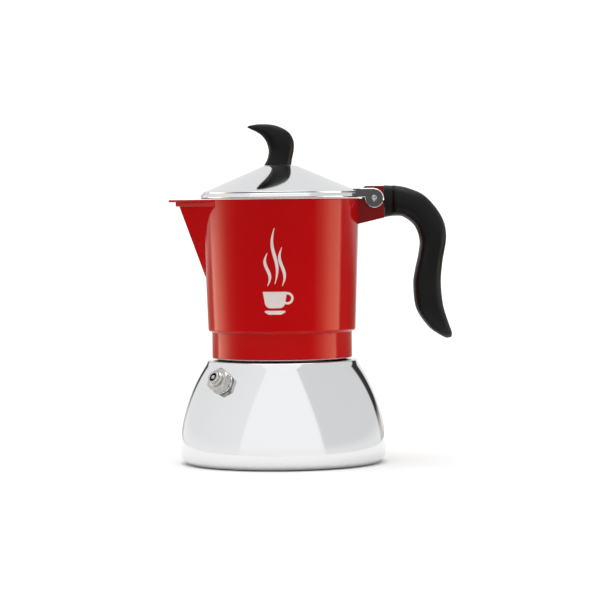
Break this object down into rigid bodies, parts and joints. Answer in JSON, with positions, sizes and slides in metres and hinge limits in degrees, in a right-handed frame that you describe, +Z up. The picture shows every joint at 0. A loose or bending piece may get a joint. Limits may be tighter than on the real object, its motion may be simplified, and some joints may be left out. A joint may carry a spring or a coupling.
{
  "type": "moka pot",
  "caption": "Stovetop coffee maker: steel boiler with a safety valve, lift-out funnel, screw-on red collector with spout and handle, and a hinged conical lid with a claw knob.",
  "frame": {"origin": "centre of the base's flat underside, on the pot's axis", "axes": "+Z up along the pot's axis, +X towards the handle, -X towards the spout"},
  "size_m": [0.1496, 0.1092, 0.1797],
  "materials": {
    "polished_steel": "mirror polished",
    "base_steel": "turned",
    "valve_steel": "machined and plated",
    "screw_steel": "zinc plated",
    "bare_aluminium": "pressed and satin",
    "red_enamel": "gloss red paint on aluminium",
    "black_nylon": "satin moulded",
    "white_silicone": "smooth",
    "insert_brass": "turned"
  },
  "bodies": {
    "boiler": {"boiler_shell": "polished_steel", "boiler_base": "base_steel", "valve_bush": "valve_steel", "valve_washer": "white_silicone", "valve_body": "valve_steel", "valve_spring": "screw_steel", "valve_retainer": "valve_steel"},
    "valve_pin": {"valve_plunger": "valve_steel"},
    "funnel": {"funnel_cup": "bare_aluminium", "funnel_stem": "bare_aluminium", "funnel_screen": "bare_aluminium"},
    "seal_ring": {"gasket": "white_silicone"},
    "seal_plate": {"filter_plate": "bare_aluminium"},
    "collector": {"collector_body": "red_enamel", "coffee_column": "bare_aluminium", "handle": "black_nylon", "handle_screw": "screw_steel", "hinge_pin": "screw_steel"},
    "lid": {"lid_shell": "polished_steel", "lid_knob": "black_nylon", "knob_insert": "insert_brass", "knob_washer": "screw_steel", "knob_screw": "screw_steel"}
  },
  "joints": [
    {"name": "valve_pull", "type": "slide", "parent": "boiler", "child": "valve_pin", "axis": [-0.6073, -0.6513, 0.455], "range_m": [0, 0.0012], "stiffness_N_per_m": 800, "springref_m": -0.001, "deforming": ["valve_spring"]},
    {"name": "funnel_lift", "type": "slide", "parent": "boiler", "child": "funnel", "axis": [0, 0, 1], "range_m": [0, 0.065]},
    {"name": "collector_lift", "type": "slide", "parent": "funnel", "child": "seal_ring", "axis": [0, 0, 1], "range_m": [0, 0.03]},
    {"name": "thread_rise", "type": "slide", "parent": "seal_ring", "child": "seal_plate", "axis": [0, 0, 1], "range_m": [0, 0.0075]},
    {"name": "collector_turn", "type": "hinge", "parent": "seal_plate", "child": "collector", "pos_m": [0, 0, 0.0722], "axis": [0, 0, 1], "range_deg": [0, 900]},
    {"name": "lid_hinge", "type": "hinge", "parent": "collector", "child": "lid", "pos_m": [0.0494, 0, 0.14], "axis": [0, 1, 0], "range_deg": [0, 92]}
  ],
  "couplings": [
    {"joint": "thread_rise", "follows": "collector_turn", "m_per_rad": 0.00047746}
  ]
}
